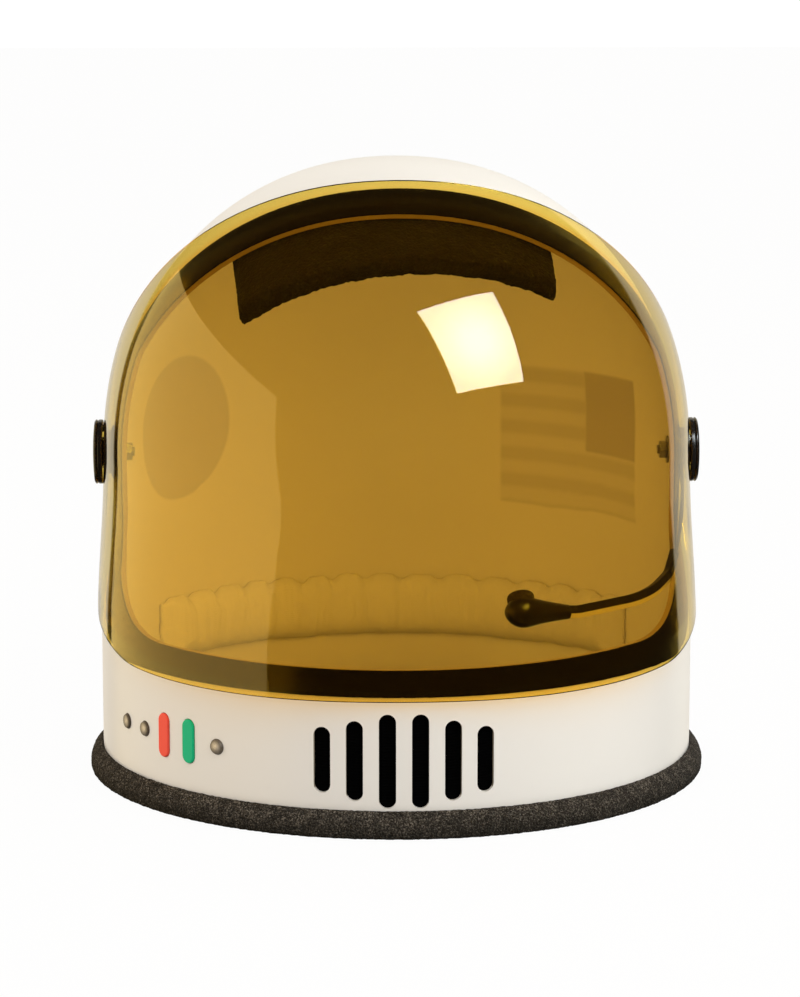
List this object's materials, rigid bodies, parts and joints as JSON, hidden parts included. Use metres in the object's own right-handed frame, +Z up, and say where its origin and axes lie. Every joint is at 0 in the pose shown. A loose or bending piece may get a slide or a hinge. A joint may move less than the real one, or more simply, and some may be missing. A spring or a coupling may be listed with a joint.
{
  "type": "astronaut helmet",
  "caption": "Domed white space helmet with a gold tinted visor that swings up on side knobs, a mic boom, vents and a foam rim.",
  "frame": {"origin": "middle of the foam rim's underside, on the surface the helmet stands on", "axes": "+Z up, the face looks to -Y, the wearer's left is +X"},
  "size_m": [0.2692, 0.2692, 0.2665],
  "materials": {
    "shell_white": "gloss white moulded shell, slightly translucent",
    "trim_black": "gloss black",
    "visor_gold": "clear amber gold tint, polished",
    "knob_black": "gloss black moulding",
    "steel": "zinc plated",
    "washer_grey": "natural nylon",
    "boom_black": "satin black moulding",
    "mic_foam": "matt black",
    "pad_foam": "black foam with a brushed face",
    "neck_pad_foam": "pale gathered padding",
    "rim_foam": "charcoal open foam",
    "screen_black": "matt black",
    "lens_red": "clear red lens",
    "lens_green": "clear green lens",
    "stud_grey": "dark plated metal",
    "patch_blue": "printed film",
    "patch_red": "printed film"
  },
  "bodies": {
    "root": {"helmet_shell": "shell_white", "face_opening_trim": "trim_black", "knob_base_left": "knob_black", "knob_base_right": "knob_black", "knob_cap_left": "knob_black", "knob_cap_right": "knob_black", "pivot_screw_left": "steel", "pivot_screw_right": "steel", "pivot_nut_left": "steel", "pivot_nut_right": "steel", "inner_washer_left": "steel", "inner_washer_right": "steel", "friction_washer_left": "washer_grey", "friction_washer_right": "washer_grey", "pivot_spacer_right": "boom_black", "forehead_pad": "pad_foam", "crown_pad": "pad_foam", "rear_neck_pad": "neck_pad_foam", "neck_trim": "rim_foam", "vent_screen": "screen_black", "indicator_red": "lens_red", "indicator_green": "lens_green", "indicator_studs": "stud_grey", "round_patch": "patch_blue", "stripe_patch": "patch_red"},
    "visor": {"visor": "visor_gold"},
    "mic_boom": {"mic_boom": "boom_black", "mic_housing": "boom_black", "mic_capsule": "mic_foam"}
  },
  "joints": [
    {"name": "visor_pivot", "type": "hinge", "parent": "root", "child": "visor", "pos_m": [0, 0, 0.1385], "axis": [-1, 0, 0], "range_deg": [0, 75]},
    {"name": "mic_swing", "type": "hinge", "parent": "root", "child": "mic_boom", "pos_m": [0, 0, 0.1385], "axis": [-1, 0, 0], "range_deg": [0, 6]}
  ]
}
